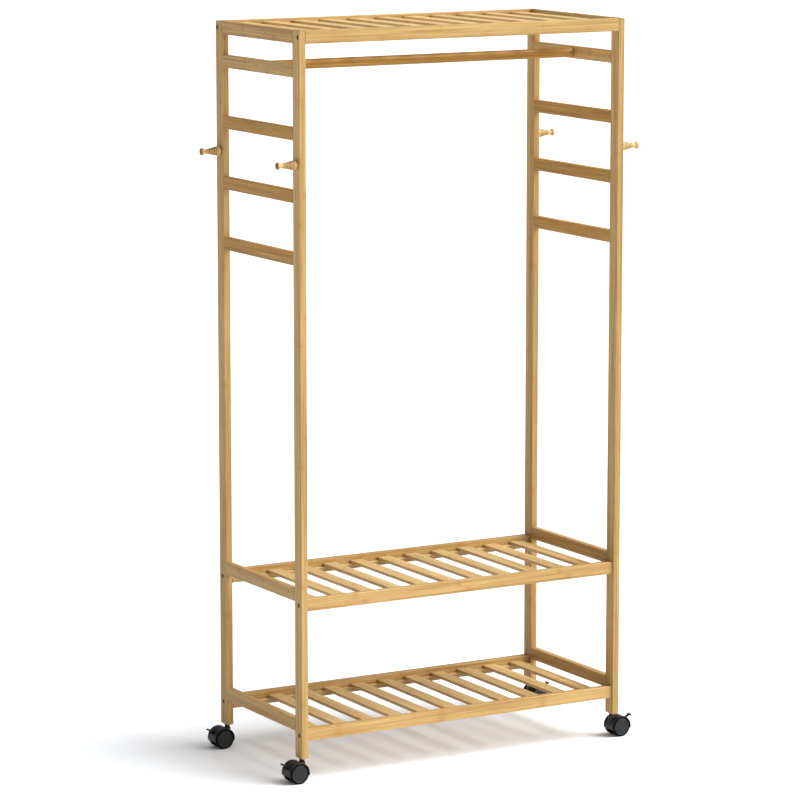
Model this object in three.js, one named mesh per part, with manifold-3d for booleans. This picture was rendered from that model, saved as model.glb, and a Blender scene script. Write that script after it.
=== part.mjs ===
// A rolling clothes rack: a bamboo frame with a hanging rod, three slatted shelves, four turned
// pegs and four swivelling twin-wheel casters with brake levers.
// Millimetres. X runs along the rod, Y from front to back, Z up from the floor, centred on the rack.
import * as THREE from "three";
import { mergeVertices } from "three/addons/utils/BufferGeometryUtils.js";
import Module from "manifold-3d";

const wasm = await Module();
wasm.setup();

// ---------------------------------------------------------------- driving dimensions

const TOTAL_HEIGHT = 1650;
const WIDTH = 828; // over the posts' outer faces
const DEPTH = 387; // over the posts' front and rear faces
const CASTER_HEIGHT = 54.5; // floor to the bottom of a post

const POST_X = 16;
const POST_Y = 32;
const BOARD_THICKNESS = 16;
const RUNG_HEIGHT = 28;
const TOP_RAIL_HEIGHT = 29;
const EASED_EDGE = 1.5;

const ROD_RAIL_TOP = 1576;
const RUNG_PITCH = 135;
const MIDDLE_SIDE_RAIL_TOP = 431.5;
const BOTTOM_SIDE_RAIL_TOP = 140.5;
const SHELF_DROP = 20; // a shelf's front rail sits this far below the side rail beside it
const SHELF_INSET = 5.5; // and this far behind the post's face

const SLAT_COUNT = 11;
const SLAT_WIDTH = 33;
const SLAT_THICKNESS = 7;
const SLAT_END_MARGIN = 22.5; // from the outermost slat's edge to the posts' inner faces
const SLAT_END_GAP = 0.5;
const SLAT_RECESS = 10; // slat tops below the shelf rails' tops
const TOP_SLAT_RECESS = 5;
const BATTEN_WIDTH = 12;
const BATTEN_HEIGHT = 11;

const ROD_RADIUS = 11;
const ROD_CHAMFER = 0.8;
const SCREW_RADIUS = 2.2;
const SCREW_HEAD_RADIUS = 4.2;
const SCREW_HEAD_HEIGHT = 3;
const SCREW_LENGTH = 40;
const SCREW_TIP_LENGTH = 5;
const SCREW_CLEARANCE = 0.3;
const PILOT_BEYOND_SCREW = 2; // the rod's pilot bore goes this much deeper than the screw

const BOLT_HOLE_RADIUS = 3.2;
const BOLT_RECESS_RADIUS = 5;
const BOLT_RECESS_DEPTH = 4.5;

const PEG_HEIGHT = 1362;
const PEG_TENON_RADIUS = 4.7;
const PEG_TENON_LENGTH = 11;
const PEG_BASE_RADIUS = 11;
// A peg's outline from its rounded base to its knob: [radius, distance from the post].
const PEG_OUTLINE = [
  [PEG_BASE_RADIUS, 6],
  [10.4, 10.5],
  [8.9, 17.5],
  [7.2, 22.5],
  [6.3, 27],
  [5.6, 33],
  [5.4, 39.5],
  [8.7, 42],
  [8.7, 45.5],
  [6, 48],
  [0, 48],
];

const WHEEL_RADIUS = 23;
const WHEEL_INNER_BEVEL = 1;
const WHEEL_OUTER_BEVEL = 2;
const CASTER_WIDTH = 40; // over both wheels
const WHEEL_INNER_FACE = 6.9; // from the middle of the caster to a wheel
const TRAIL = 15.5; // from the swivel axis to the axle
const AXLE_RADIUS = 2.5;
const AXLE_LENGTH = 34;
const HOOD_INNER_RADIUS = 23.8;
const HOOD_OUTER_RADIUS = 25.4;
const HOOD_WIDTH = 38.6;
const HOOD_DIP = 13; // degrees that the hood's ends reach below the axle
const WEB_THICKNESS = 11;
const WEB_START = 5; // degrees above the axle at which the web meets the hood on the pedal's side
const HUB_RADIUS = 7; // of the web, around the axle
const FUSION = 0.5; // how far pieces of one moulding run into each other
const BOSS_RADIUS = 6; // around the swivel pin
const BOSS_BOTTOM = 2; // above the axle
const STEM_RADIUS = 4;
const STEM_LENGTH = 32; // inside the post
const STEM_CHAMFER = 1;
const SWIVEL_PIN_RADIUS = 3;
const SWIVEL_PIN_LENGTH = 16;
const FLANGE_RADIUS = 6.5;
const FLANGE_THICKNESS = 2.4;

const PEDAL_PIVOT = new THREE.Vector2(12, 12); // from the axle, outwards and up
const PEDAL_TIP = new THREE.Vector2(32.6, 21.9);
const PEDAL_ARM_WIDTH = 6;
const PEDAL_THICKNESS = 3;
const PEDAL_BAR_WIDTH = 14;
const PEDAL_BAR_DEPTH = 3.6;
const PEDAL_EYE_RADIUS = 3.6;
const PEDAL_PIN_RADIUS = 1.5;
const PEDAL_POCKET = { radius: 11, from: 0, to: 78 }; // cut from the web, in mm and degrees
const PEDAL_SLOT = { from: 24, to: 47 }; // through the hood, in degrees

const GAP = 0.3; // clearance between pieces that are fitted together

// ---------------------------------------------------------------- derived places

const halfWidth = WIDTH / 2;
const halfDepth = DEPTH / 2;
const postInnerX = halfWidth - POST_X;
const postInnerY = halfDepth - POST_Y;
const postX = halfWidth - POST_X / 2;
const postY = halfDepth - POST_Y / 2;
const postLength = TOTAL_HEIGHT - CASTER_HEIGHT;
const rodHeight = ROD_RAIL_TOP - RUNG_HEIGHT / 2;
const FACETS = { rod: 32, wheel: 24, peg: 18, hood: 14, small: 12 };
const SIDES = { left: -1, right: 1 };
const ENDS = { front: -1, rear: 1 };

// The three shelves, from the top: height of the rails' top edge, their height, how far the
// rails stand behind the posts' faces, and how far the slats lie below the rails' tops.
const SHELVES = {
  top: { top: TOTAL_HEIGHT, height: TOP_RAIL_HEIGHT, inset: 0, recess: TOP_SLAT_RECESS },
  middle: {
    top: MIDDLE_SIDE_RAIL_TOP - SHELF_DROP,
    height: RUNG_HEIGHT,
    inset: SHELF_INSET,
    recess: SLAT_RECESS,
  },
  bottom: {
    top: BOTTOM_SIDE_RAIL_TOP - SHELF_DROP,
    height: RUNG_HEIGHT,
    inset: SHELF_INSET,
    recess: SLAT_RECESS,
  },
};

// The boards that join the two posts of a side, from the top: height of the top edge.
const SIDE_BOARDS = {
  top_side_rail: TOTAL_HEIGHT,
  rod_rail: ROD_RAIL_TOP,
  rung_upper: ROD_RAIL_TOP - RUNG_PITCH,
  rung_middle: ROD_RAIL_TOP - 2 * RUNG_PITCH,
  rung_lower: ROD_RAIL_TOP - 3 * RUNG_PITCH,
  middle_side_rail: MIDDLE_SIDE_RAIL_TOP,
  bottom_side_rail: BOTTOM_SIDE_RAIL_TOP,
};

// ---------------------------------------------------------------- materials

const bamboo = new THREE.MeshStandardMaterial({ color: 0xd9b474, roughness: 0.55, metalness: 0 });
const slatBamboo = new THREE.MeshStandardMaterial({ color: 0xe3c18c, roughness: 0.55, metalness: 0 });
const turnedWood = new THREE.MeshStandardMaterial({ color: 0xd8ad6c, roughness: 0.5, metalness: 0 });
const blackPlastic = new THREE.MeshStandardMaterial({ color: 0x232320, roughness: 0.45, metalness: 0 });
const wheelPlastic = new THREE.MeshStandardMaterial({ color: 0x2e2e2b, roughness: 0.4, metalness: 0 });
const steel = new THREE.MeshStandardMaterial({ color: 0x8e8f90, roughness: 0.35, metalness: 1 });
const blackSteel = new THREE.MeshStandardMaterial({ color: 0x2b2927, roughness: 0.4, metalness: 1 });

// ---------------------------------------------------------------- shape helpers

// A closed geometry as a manifold-3d solid.
function toSolid(geometry) {
  const bare = geometry.clone();
  bare.deleteAttribute("normal");
  bare.deleteAttribute("uv");
  const merged = mergeVertices(bare, 1e-4);
  return new wasm.Manifold(
    new wasm.Mesh({
      numProp: 3,
      vertProperties: merged.attributes.position.array,
      triVerts: new Uint32Array(merged.index.array),
    }),
  );
}

// A manifold-3d solid as a flat-shaded geometry.
function toGeometry(solid) {
  const { vertProperties, triVerts } = solid.getMesh();
  const indexed = new THREE.BufferGeometry();
  indexed.setAttribute("position", new THREE.BufferAttribute(vertProperties, 3));
  indexed.setIndex(new THREE.BufferAttribute(triVerts, 1));
  const geometry = indexed.toNonIndexed();
  geometry.computeVertexNormals();
  return geometry;
}

function joined(...geometries) {
  return toGeometry(geometries.map(toSolid).reduce((sum, next) => sum.add(next)));
}

function cut(geometry, ...tools) {
  return toGeometry(tools.map(toSolid).reduce((rest, tool) => rest.subtract(tool), toSolid(geometry)));
}

// Turns a shape made along Z so that it runs along the named axis.
function turnedAlong(geometry, axis) {
  const x = new THREE.Vector3(1, 0, 0);
  const y = new THREE.Vector3(0, 1, 0);
  const z = new THREE.Vector3(0, 0, 1);
  const frame = new THREE.Matrix4();
  if (axis === "x") frame.makeBasis(y, z, x);
  if (axis === "y") frame.makeBasis(z, x, y);
  return geometry.applyMatrix4(frame);
}

// A board centred on its own origin, with its four long edges eased.
function board(sizeX, sizeY, sizeZ, axis) {
  const sections = { x: [sizeY, sizeZ, sizeX], y: [sizeZ, sizeX, sizeY], z: [sizeX, sizeY, sizeZ] };
  const [width, height, length] = sections[axis];
  const [a, b, e] = [width / 2, height / 2, EASED_EDGE];
  const outline = new THREE.Shape()
    .moveTo(a, -b + e)
    .lineTo(a, b - e)
    .lineTo(a - e, b)
    .lineTo(-a + e, b)
    .lineTo(-a, b - e)
    .lineTo(-a, -b + e)
    .lineTo(-a + e, -b)
    .lineTo(a - e, -b);
  const geometry = new THREE.ExtrudeGeometry(outline, { depth: length, bevelEnabled: false });
  return turnedAlong(geometry.translate(0, 0, -length / 2), axis);
}

// A round bar of the given length, centred on its own origin.
function roundBar(radius, length, axis, facets = FACETS.small) {
  const along = new THREE.CylinderGeometry(radius, radius, length, facets).rotateX(Math.PI / 2);
  return turnedAlong(along, axis);
}

// A profile of [radius, height] points, turned about Y, with a flat facet facing down.
function turned(profile, facets) {
  const points = profile.map(([radius, height]) => new THREE.Vector2(radius, height));
  return new THREE.LatheGeometry(points, facets, Math.PI / facets);
}

// An outline drawn in X and Z, as a slab of the given width centred on Y = 0.
function slab(outline, width, curveSegments = 7) {
  const geometry = new THREE.ExtrudeGeometry(outline, {
    depth: width,
    bevelEnabled: false,
    curveSegments,
  });
  return geometry.rotateX(Math.PI / 2).translate(0, width / 2, 0);
}

function mesh(name, geometry, material, x = 0, y = 0, z = 0) {
  const piece = new THREE.Mesh(geometry, material);
  piece.name = name;
  piece.position.set(x, y, z);
  return piece;
}

// ---------------------------------------------------------------- posts and side boards

// How far a shelf's rails, and the bolts that hold them, stand from the middle, front and rear.
function railDepth(shelf) {
  return halfDepth - shelf.inset - BOARD_THICKNESS / 2;
}

function post(side, end) {
  const blank = board(POST_X, POST_Y, postLength, "z");
  const middle = CASTER_HEIGHT + postLength / 2;
  const outerFace = (side * POST_X) / 2;
  const holes = Object.values(SHELVES).flatMap((shelf) => {
    const y = end * (railDepth(shelf) - postY);
    const z = shelf.top - shelf.height / 2 - middle;
    return [
      roundBar(BOLT_HOLE_RADIUS, 2 * POST_X, "x").translate(0, y, z),
      roundBar(BOLT_RECESS_RADIUS, 2 * BOLT_RECESS_DEPTH, "x").translate(outerFace, y, z),
    ];
  });
  const pegBore = roundBar(PEG_TENON_RADIUS + GAP, 2 * (PEG_TENON_LENGTH + GAP), "x");
  pegBore.translate(outerFace, 0, PEG_HEIGHT - middle);
  const stemBore = roundBar(STEM_RADIUS + GAP, 2 * (STEM_LENGTH + GAP), "z");
  stemBore.translate(0, 0, -postLength / 2);
  return cut(blank, ...holes, pegBore, stemBore);
}

function sideBoard(height) {
  return board(BOARD_THICKNESS, 2 * postInnerY, height, "y");
}

// The side board that carries the rod, drilled and countersunk for the rod's screw.
function rodRail(side) {
  const drillRadius = SCREW_RADIUS + SCREW_CLEARANCE;
  const seatRadius = SCREW_HEAD_RADIUS + 2 * SCREW_CLEARANCE;
  const seatDepth = SCREW_HEAD_HEIGHT + 2 * SCREW_CLEARANCE;
  const drilled = roundBar(drillRadius, 2 * BOARD_THICKNESS, "x");
  const seat = new THREE.CylinderGeometry(seatRadius, drillRadius, seatDepth, FACETS.small);
  seat.translate(0, -seatDepth / 2, 0).rotateZ((-side * Math.PI) / 2);
  return cut(sideBoard(RUNG_HEIGHT), drilled, seat.translate((side * BOARD_THICKNESS) / 2, 0, 0));
}

// ---------------------------------------------------------------- shelves

function shelfRail(height) {
  return board(2 * postInnerX, BOARD_THICKNESS, height, "x");
}

// The slats and the two battens they are pinned to, around the slats' underside at the origin.
function slatDeck(shelf) {
  const railInnerY = halfDepth - shelf.inset - BOARD_THICKNESS;
  const battenY = railInnerY - BATTEN_WIDTH / 2;
  const slatLength = 2 * (railInnerY - SLAT_END_GAP);
  const firstSlat = -postInnerX + SLAT_END_MARGIN + SLAT_WIDTH / 2;
  const pitch = (-2 * firstSlat) / (SLAT_COUNT - 1);
  const battens = Object.values(ENDS).map((end) =>
    new THREE.BoxGeometry(2 * postInnerX, BATTEN_WIDTH, BATTEN_HEIGHT).translate(
      0,
      end * battenY,
      -BATTEN_HEIGHT / 2,
    ),
  );
  const slats = Array.from({ length: SLAT_COUNT }, (_, i) =>
    new THREE.BoxGeometry(SLAT_WIDTH, slatLength, SLAT_THICKNESS).translate(
      firstSlat + i * pitch,
      0,
      SLAT_THICKNESS / 2,
    ),
  );
  return joined(...battens, ...slats);
}

// ---------------------------------------------------------------- rod, screws and pegs

// The rod along X, with a pilot bore for a screw in each end.
function hangingRod() {
  const end = postInnerX - GAP;
  const bore = SCREW_RADIUS + SCREW_CLEARANCE;
  const boreEnd = end - (SCREW_LENGTH - BOARD_THICKNESS) - PILOT_BEYOND_SCREW;
  const upperEnd = [
    [ROD_RADIUS, end - ROD_CHAMFER],
    [ROD_RADIUS - ROD_CHAMFER, end],
    [bore, end],
    [bore, boreEnd],
    [0, boreEnd],
  ];
  const lowerEnd = upperEnd.map(([radius, height]) => [radius, -height]).reverse();
  return turned([...lowerEnd, ...upperEnd], FACETS.rod).rotateZ(-Math.PI / 2);
}

// A countersunk wood screw along X, its head's flat face at the origin, pointing inwards.
function rodScrew(side) {
  const profile = [
    [0, -SCREW_LENGTH],
    [SCREW_RADIUS, -SCREW_LENGTH + SCREW_TIP_LENGTH],
    [SCREW_RADIUS, -SCREW_HEAD_HEIGHT],
    [SCREW_HEAD_RADIUS, 0],
    [0, 0],
  ];
  return turned(profile, FACETS.small).rotateZ((-side * Math.PI) / 2);
}

// A turned peg along X: a tenon in the post, a ringed cone, a thin neck and a round knob.
function peg(side) {
  const profile = [
    [0, -PEG_TENON_LENGTH],
    [PEG_TENON_RADIUS, -PEG_TENON_LENGTH],
    [PEG_TENON_RADIUS, GAP],
    [PEG_BASE_RADIUS, GAP],
    ...PEG_OUTLINE,
  ];
  return turned(profile, FACETS.peg).rotateZ((-side * Math.PI) / 2);
}

// ---------------------------------------------------------------- casters
// Each caster is drawn with X pointing the way its wheels trail, Y along the axle, and the
// swivel axis at X = 0. Wheels, hood and pedal are drawn around the axle.

// Fixed in the post: a pin, the flange that the post stands on, and the pin that the housing
// turns on.
function casterStem() {
  const profile = [
    [0, -FLANGE_THICKNESS - SWIVEL_PIN_LENGTH],
    [SWIVEL_PIN_RADIUS, -FLANGE_THICKNESS - SWIVEL_PIN_LENGTH],
    [SWIVEL_PIN_RADIUS, -FLANGE_THICKNESS],
    [FLANGE_RADIUS, -FLANGE_THICKNESS],
    [FLANGE_RADIUS, -GAP],
    [STEM_RADIUS, -GAP],
    [STEM_RADIUS, STEM_LENGTH - STEM_CHAMFER],
    [STEM_RADIUS - STEM_CHAMFER, STEM_LENGTH],
    [0, STEM_LENGTH],
  ];
  return turned(profile, FACETS.small).rotateX(Math.PI / 2);
}

// A ring sector between two radii, from one angle in degrees to another, in the XZ plane.
function sector(inner, outer, from, to) {
  const [start, end] = [from, to].map(THREE.MathUtils.degToRad);
  return new THREE.Shape().absarc(0, 0, outer, start, end, false).absarc(0, 0, inner, end, start, true);
}

// The hood over both wheels, the web between them, the boss around the swivel pin, and the
// pin that the brake pedal turns on.
function casterHousing() {
  const slotWidth = PEDAL_ARM_WIDTH + 2 * GAP;
  const hoodEnd = 180 + HOOD_DIP;
  const hoodRing = sector(HOOD_INNER_RADIUS, HOOD_OUTER_RADIUS, -HOOD_DIP, hoodEnd);
  const hood = slab(hoodRing, HOOD_WIDTH, FACETS.hood);
  const webRing = sector(HUB_RADIUS - FUSION, HOOD_INNER_RADIUS + FUSION, WEB_START, hoodEnd);
  const web = slab(webRing, WEB_THICKNESS);
  const hub = roundBar(HUB_RADIUS, WEB_THICKNESS, "y");
  const bossTop = CASTER_HEIGHT - FLANGE_THICKNESS - GAP - WHEEL_RADIUS;
  const boss = roundBar(BOSS_RADIUS, bossTop - BOSS_BOTTOM, "z");
  boss.translate(-TRAIL, 0, (bossTop + BOSS_BOTTOM) / 2);
  const pinBore = roundBar(SWIVEL_PIN_RADIUS + GAP, 2 * (SWIVEL_PIN_LENGTH + GAP), "z");
  pinBore.translate(-TRAIL, 0, bossTop);
  const axleBore = roundBar(AXLE_RADIUS + GAP, CASTER_WIDTH, "y");
  const pocket = PEDAL_POCKET;
  const pedalPocket = slab(sector(pocket.radius, HOOD_INNER_RADIUS, pocket.from, pocket.to), slotWidth);
  const [slotInner, slotOuter] = [HOOD_INNER_RADIUS - FUSION, HOOD_OUTER_RADIUS + FUSION];
  const pedalSlot = slab(sector(slotInner, slotOuter, PEDAL_SLOT.from, PEDAL_SLOT.to), slotWidth);
  const pedalPin = roundBar(PEDAL_PIN_RADIUS, WEB_THICKNESS - 2 * FUSION, "y");
  pedalPin.translate(PEDAL_PIVOT.x, 0, PEDAL_PIVOT.y);
  const shell = joined(hood, web, hub, boss);
  return joined(cut(shell, pinBore, axleBore, pedalPocket, pedalSlot), pedalPin);
}

// A twin-wheel caster's wheel, its outer face towards +Y, bored from the inside for the axle.
function wheel() {
  const outerFace = CASTER_WIDTH / 2;
  const boreRadius = AXLE_RADIUS + GAP;
  const boreEnd = AXLE_LENGTH / 2 + GAP;
  const flatToCorner = 1 / Math.cos(Math.PI / FACETS.wheel);
  const profile = [
    [0, boreEnd],
    [boreRadius, boreEnd],
    [boreRadius, WHEEL_INNER_FACE],
    [WHEEL_RADIUS - WHEEL_INNER_BEVEL, WHEEL_INNER_FACE],
    [WHEEL_RADIUS, WHEEL_INNER_FACE + WHEEL_INNER_BEVEL],
    [WHEEL_RADIUS, outerFace - WHEEL_OUTER_BEVEL],
    [WHEEL_RADIUS - WHEEL_OUTER_BEVEL, outerFace],
    [0, outerFace],
  ];
  const circumscribed = profile.map(([radius, height]) => [radius * flatToCorner, height]);
  return turned(circumscribed, FACETS.wheel);
}

// The brake pedal: an eye on the pivot pin, an arm through the hood and a bar to step on.
function brakePedal() {
  const reach = PEDAL_TIP.clone().sub(PEDAL_PIVOT);
  const tilt = reach.angle();
  const length = reach.length();
  const armStart = PEDAL_EYE_RADIUS / 2;
  const arm = new THREE.BoxGeometry(length - armStart, PEDAL_ARM_WIDTH, PEDAL_THICKNESS);
  arm.translate((length + armStart) / 2, 0, 0);
  const bar = new THREE.BoxGeometry(PEDAL_BAR_DEPTH, PEDAL_BAR_WIDTH, PEDAL_THICKNESS);
  bar.translate(length, 0, 0);
  const eye = roundBar(PEDAL_EYE_RADIUS, PEDAL_ARM_WIDTH, "y");
  const bore = roundBar(PEDAL_PIN_RADIUS + GAP, 2 * PEDAL_ARM_WIDTH, "y");
  return cut(joined(arm, bar, eye), bore).rotateY(-tilt);
}

function caster(side, end, corner) {
  const group = new THREE.Group();
  group.position.set(side * postX, end * postY, 0);
  group.rotation.z = side > 0 ? 0 : Math.PI;
  const axle = roundBar(AXLE_RADIUS, AXLE_LENGTH, "y");
  const frontWheel = mesh(`caster_front_wheel_${corner}`, wheel(), wheelPlastic, TRAIL, 0, WHEEL_RADIUS);
  const rearWheel = mesh(`caster_rear_wheel_${corner}`, wheel(), wheelPlastic, TRAIL, 0, WHEEL_RADIUS);
  const towardsMinusY = side > 0 ? frontWheel : rearWheel;
  towardsMinusY.rotation.x = Math.PI;
  const brake = mesh(`caster_brake_${corner}`, brakePedal(), blackPlastic);
  brake.position.set(TRAIL + PEDAL_PIVOT.x, 0, WHEEL_RADIUS + PEDAL_PIVOT.y);
  group.add(
    mesh(`caster_stem_${corner}`, casterStem(), blackSteel, 0, 0, CASTER_HEIGHT),
    mesh(`caster_housing_${corner}`, casterHousing(), blackPlastic, TRAIL, 0, WHEEL_RADIUS),
    mesh(`caster_axle_${corner}`, axle, steel, TRAIL, 0, WHEEL_RADIUS),
    frontWheel,
    rearWheel,
    brake,
  );
  return group;
}

// ---------------------------------------------------------------- assembly

const rack = new THREE.Group();

for (const [sideName, side] of Object.entries(SIDES)) {
  const boardX = side * (halfWidth - BOARD_THICKNESS / 2);
  for (const [name, top] of Object.entries(SIDE_BOARDS)) {
    const height = name === "top_side_rail" ? TOP_RAIL_HEIGHT : RUNG_HEIGHT;
    const shape = name === "rod_rail" ? rodRail(side) : sideBoard(height);
    rack.add(mesh(`${name}_${sideName}`, shape, bamboo, boardX, 0, top - height / 2));
  }
  const screwX = side * (halfWidth - SCREW_CLEARANCE);
  rack.add(mesh(`rod_screw_${sideName}`, rodScrew(side), steel, screwX, 0, rodHeight));
  for (const [endName, end] of Object.entries(ENDS)) {
    const corner = `${endName}_${sideName}`;
    const middle = CASTER_HEIGHT + postLength / 2;
    rack.add(
      mesh(`post_${corner}`, post(side, end), bamboo, side * postX, end * postY, middle),
      mesh(`peg_${corner}`, peg(side), turnedWood, side * halfWidth, end * postY, PEG_HEIGHT),
      caster(side, end, corner),
    );
  }
}

for (const [name, shelf] of Object.entries(SHELVES)) {
  for (const [endName, end] of Object.entries(ENDS)) {
    const railY = end * railDepth(shelf);
    const railZ = shelf.top - shelf.height / 2;
    rack.add(mesh(`${name}_shelf_${endName}_rail`, shelfRail(shelf.height), bamboo, 0, railY, railZ));
  }
  const underside = shelf.top - shelf.recess - SLAT_THICKNESS;
  rack.add(mesh(`${name}_slat_deck`, slatDeck(shelf), slatBamboo, 0, 0, underside));
}

rack.add(mesh("hanging_rod", hangingRod(), bamboo, 0, 0, rodHeight));

export default rack;
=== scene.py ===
"""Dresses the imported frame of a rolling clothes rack.

The rack is a bamboo frame with a hanging rod, three slatted shelves, four turned pegs, and four
swivelling twin-wheel casters with brake pedals. X runs along the rod, Y from front to back, and Z
up from the floor. Every place comes from the frame's own boxes, in metres.
"""

import math
import random

import bmesh
import bpy
from bpy.props import FloatProperty, FloatVectorProperty, IntProperty, PointerProperty
from mathutils import Matrix, Vector


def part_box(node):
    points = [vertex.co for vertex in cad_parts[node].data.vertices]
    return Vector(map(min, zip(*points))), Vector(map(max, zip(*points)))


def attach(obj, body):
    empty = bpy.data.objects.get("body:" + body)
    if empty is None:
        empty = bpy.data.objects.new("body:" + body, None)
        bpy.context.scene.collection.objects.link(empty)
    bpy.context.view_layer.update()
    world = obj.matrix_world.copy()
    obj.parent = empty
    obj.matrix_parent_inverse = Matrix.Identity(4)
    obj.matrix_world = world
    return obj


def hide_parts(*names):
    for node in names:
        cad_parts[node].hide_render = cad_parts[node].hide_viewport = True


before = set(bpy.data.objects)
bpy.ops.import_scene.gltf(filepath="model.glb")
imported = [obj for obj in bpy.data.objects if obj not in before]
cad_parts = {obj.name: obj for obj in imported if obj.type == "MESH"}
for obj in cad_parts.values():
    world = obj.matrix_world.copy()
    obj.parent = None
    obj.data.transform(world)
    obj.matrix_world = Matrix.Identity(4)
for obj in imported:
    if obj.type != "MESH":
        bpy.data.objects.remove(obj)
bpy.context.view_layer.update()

bl_info = {
    "name": "Rolling Clothes Rack",
    "version": (1, 0, 0),
    "blender": (4, 5, 0),
    "location": "3D View > Sidebar > Clothes Rack",
    "description": "Builds the pieces and finishes of a bamboo clothes rack around its frame",
    "category": "Object",
}

MM = 0.001
X, Y, Z = range(3)
SIDES = {"left": -1, "right": 1}
ENDS = {"front": -1, "rear": 1}
CORNERS = [(end, side) for side in SIDES for end in ENDS]
SHELVES = ("top", "middle", "bottom")
SIDE_BOARDS = (
    "top_side_rail",
    "rod_rail",
    "rung_upper",
    "rung_middle",
    "rung_lower",
    "middle_side_rail",
    "bottom_side_rail",
)

# Each kind of bamboo: how deep its tone is, how its colours are tinted, whether it is steamed to a
# golden brown, and how strongly its patches are toasted.
BAMBOO_LOOKS = {
    "bamboo_frame": {"deepen": 0.31},
    "golden_bamboo": {"deepen": 0.44, "steamed": True, "toasting": 0.42},
    "rod_bamboo": {"deepen": 0.70, "steamed": True, "toasting": 0.30},
    "bamboo_slats": {"deepen": 0.05, "tint": (1.02, 1.04, 1.13)},
    # Painted highlight: the top shelf's slats are the same slats painted paler, standing in for the
    # brighter light and grazing sky reflection on the open top deck.
    "sunlit_slats": {"deepen": -0.14, "tint": (1.14, 1.16, 1.22)},
    "turned_wood": {"deepen": -0.22, "tint": (1.08, 1.12, 1.15)},
}
# Each moulded plastic: the setting with its colour, its roughness, the height of its fine texture
# in metres, and its gloss.
MOULDED_LOOKS = {
    "caster_plastic": {"color_name": "plastic", "roughness": 0.36, "speckle": 0.00004, "gloss": 0.32},
    "tyre": {"color_name": "tyre", "roughness": 0.55, "speckle": 0.00003, "gloss": 0.06},
    "wheel_plastic": {"color_name": "face", "roughness": 0.40, "speckle": 0.00003, "gloss": 0.30},
}
# Each steel: the setting with its colour, its roughness, and how metallic it is.
STEEL_LOOKS = {
    "zinc_steel": {"color_name": "zinc", "roughness": 0.26, "metallic": 1.0},
    "blackened_steel": {"color_name": "blackened", "roughness": 0.34, "metallic": 0.85},
}
# How often each kind of grain changes along a board and across it, per metre.
GRAIN = {
    "bands": (2.6, 150.0),
    "streaks": (6.5, 420.0),
    "fibres": (16.0, 1500.0),
    "lines": (1.6, 520.0),
    "patches": (9.0, 60.0),
    "flecks": (55.0, 2600.0),
}
STRIP_OFFSET = 37.0  # how far apart along the culm a board's strips can have grown, in metres
KNUCKLE_SPACING = 0.265  # in metres

TOWARDS_KEY_LIGHT = Vector((0.80, -0.50, 0.95))
SKY_SLOPE = (0.5, -0.6, 0.6)  # which way the soft light grows brighter
HORIZON_BAND = (0.03, 0.10)  # how high the bright horizon reaches, and where it has faded away
FLOOR_RADIUS = 90.0

lots = random.Random(41)  # which culm a piece is cut from
finishes = {}


# ------------------------------------------------------------------------------ settings


def length(name, description, millimetres):
    """A size that the user can change, in metres."""
    return FloatProperty(
        name=name,
        description=description,
        default=millimetres * MM,
        unit="LENGTH",
        min=0.0,
        precision=5,
    )


def colour(name, description, default):
    """A colour that the user can change, in linear light."""
    return FloatVectorProperty(
        name=name, description=description, default=default, subtype="COLOR", size=3, min=0.0, max=1.0
    )


def share(name, description, default):
    """A number from 0 to 1 that the user can change."""
    return FloatProperty(
        name=name, description=description, default=default, subtype="FACTOR", min=0.0, max=1.0
    )


def strength(name, description, default):
    """How strong a light is."""
    return FloatProperty(name=name, description=description, default=default, min=0.0)


def angle(name, description, degrees):
    """An angle that the user can change."""
    return FloatProperty(
        name=name, description=description, default=math.radians(degrees), subtype="ANGLE"
    )


class ClothesRackBamboo(bpy.types.PropertyGroup):
    """The bamboo pieces: how they are cut, and how their lacquered surface looks"""

    edge_radius: length("Edge radius", "Rounding of the long edges of posts, rails and rungs", 1.5)
    slat_edge_radius: length("Slat edge radius", "Rounding of the long edges of slats and battens", 1.1)
    end_radius: length("End radius", "Fine rounding where a board is cut off", 0.35)
    slat_count: IntProperty(name="Slats", description="Slats in each shelf", default=11, min=2)
    slat_width: length("Slat width", "Width of a slat", 33)
    slat_thickness: length("Slat thickness", "Thickness of a slat", 7)
    slat_margin: length("Slat margin", "From the outermost slat to the posts", 22.5)
    slat_end_gap: length("Slat end gap", "From a slat's end to the shelf rail", 0.5)
    batten_width: length("Batten width", "Width of the battens under the slats", 12)
    batten_height: length("Batten height", "Height of the battens under the slats", 11)
    recess_radius: length("Bolt recess radius", "Radius of the recess that a bolt's head sits in", 5)
    recess_depth: length("Bolt recess depth", "Depth of the recess that a bolt's head sits in", 4.5)
    pale: colour("Pale strip", "Colour of the palest bamboo strips", (0.545, 0.360, 0.138))
    golden: colour("Golden strip", "Colour of the most golden bamboo strips", (0.235, 0.119, 0.0265))
    amber: colour("Amber", "Colour around the knuckles of the culm", (0.31, 0.122, 0.023))
    knuckle: colour("Knuckle", "Colour of the knuckles' lines and of the glue lines", (0.15, 0.07, 0.022))
    toast: colour("Toast", "What steaming does to the colour of the rungs and the rod", (0.98, 0.87, 0.46))
    lacquer: share("Lacquer", "Weight of the clear satin coat", 0.05)
    roughness: share("Roughness", "Roughness of the lacquered surface", 0.46)


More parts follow.
